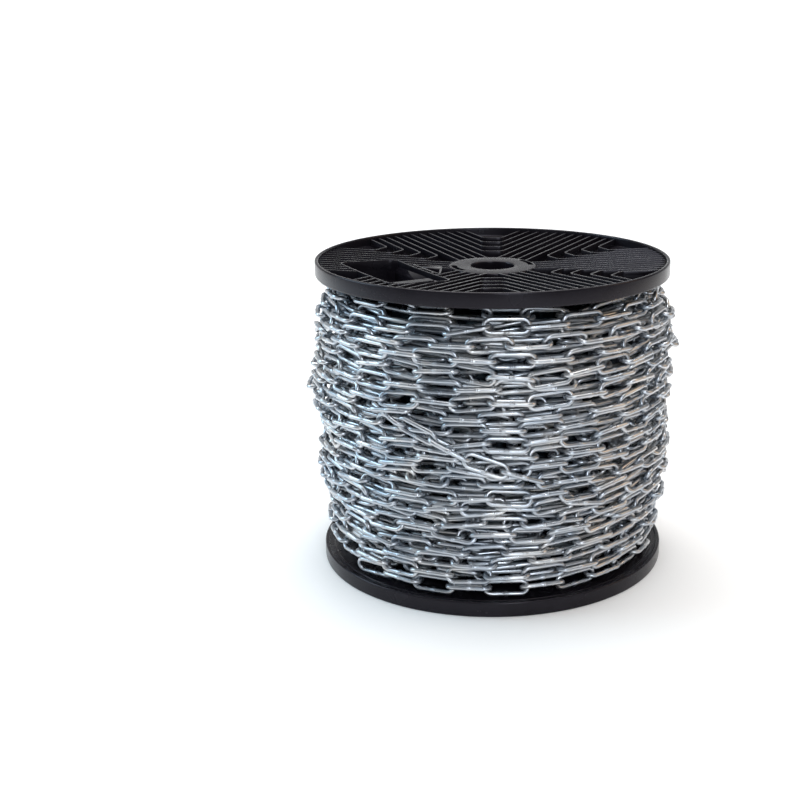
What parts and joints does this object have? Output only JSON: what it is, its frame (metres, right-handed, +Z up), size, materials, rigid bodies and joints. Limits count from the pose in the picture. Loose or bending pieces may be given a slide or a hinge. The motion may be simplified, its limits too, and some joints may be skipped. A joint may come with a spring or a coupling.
{
  "type": "reel of steel chain",
  "caption": "Plastic reel standing on one flange and fully wound with zinc-plated, welded long-link steel chain; ribbed dished flanges with a spindle bore.",
  "frame": {"origin": "on the floor under the reel's centre, where the reel axis meets the plane that the lower rim stands on", "axes": "+Z up along the reel axis, from the lower flange to the upper one; -Y is the side that faced the camera"},
  "size_m": [0.2558, 0.2554, 0.22],
  "materials": {
    "reel_plastic": "black injection-moulded plastic, satin to semi-gloss",
    "zinc_steel": "bright zinc plating"
  },
  "bodies": {
    "root": {"flange_top": "reel_plastic", "flange_bottom": "reel_plastic", "barrel": "reel_plastic", "chain_core": "zinc_steel", "chain_outer_layer": "zinc_steel"}
  },
  "joints": []
}
